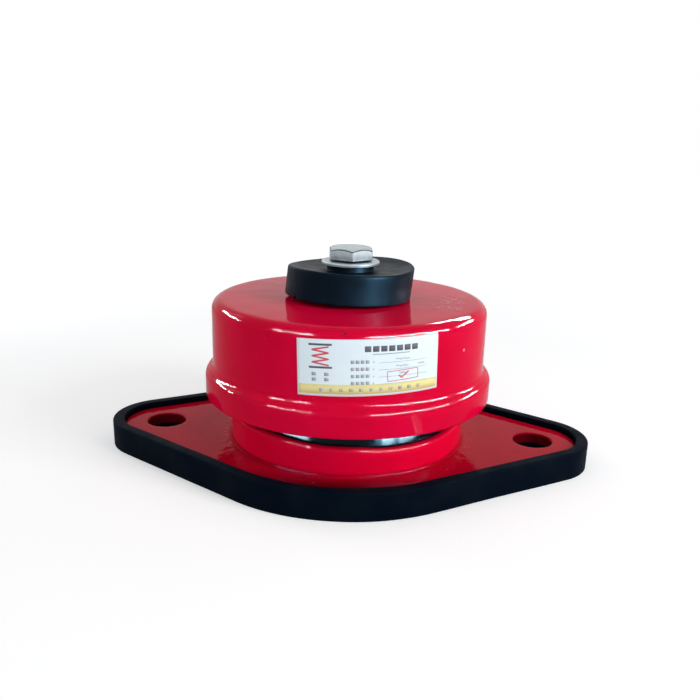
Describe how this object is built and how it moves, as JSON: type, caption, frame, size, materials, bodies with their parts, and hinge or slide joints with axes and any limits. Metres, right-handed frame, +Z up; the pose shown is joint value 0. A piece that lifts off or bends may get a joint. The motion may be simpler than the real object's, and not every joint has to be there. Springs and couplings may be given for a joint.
{
  "type": "spring vibration isolator",
  "caption": "Bolt-down spring vibration isolator: a bell housing over a low cup on a lozenge base plate in a rubber mat, with a rubber pad, washer and bolt on top.",
  "frame": {"origin": "centre of the base mat's underside, on the isolator's axis", "axes": "+Z up along the isolator's axis, +X through the two foundation bolt holes, label facing -Y"},
  "size_m": [0.2186, 0.1426, 0.0943],
  "materials": {
    "red_enamel": "thick glossy red enamel",
    "mat_rubber": "moulded black rubber, slightly glossy",
    "sleeve_rubber": "smooth glossy black rubber",
    "pad_rubber": "satin black rubber",
    "zinc_steel": "bright zinc plate",
    "spring_steel": "oiled spring steel",
    "inner_steel": "bare pressed steel",
    "label_paper": "printed white sticker"
  },
  "bodies": {
    "base": {"base_mat": "mat_rubber", "base_plate": "red_enamel", "lower_housing": "red_enamel", "lower_weld_bead": "red_enamel", "damping_sleeve": "sleeve_rubber", "spring_guide": "inner_steel", "guide_weld_bead": "inner_steel", "limit_bush": "sleeve_rubber", "lower_spring_pad": "pad_rubber", "main_spring": "spring_steel"},
    "upper": {"upper_spring_seat": "inner_steel", "upper_spring_pad": "pad_rubber", "upper_housing": "red_enamel", "threaded_boss": "inner_steel", "boss_weld_bead": "inner_steel", "limit_bolt": "zinc_steel", "limit_washer": "zinc_steel", "rebound_buffer": "pad_rubber", "top_pad": "pad_rubber", "top_washer": "zinc_steel", "top_bolt": "zinc_steel", "inspection_label": "label_paper"}
  },
  "joints": [
    {"name": "compression", "type": "slide", "parent": "base", "child": "upper", "axis": [0, 0, -1], "range_m": [0, 0.012], "stiffness_N_per_m": 39000, "springref_m": -0.012, "deforming": ["main_spring"]}
  ]
}
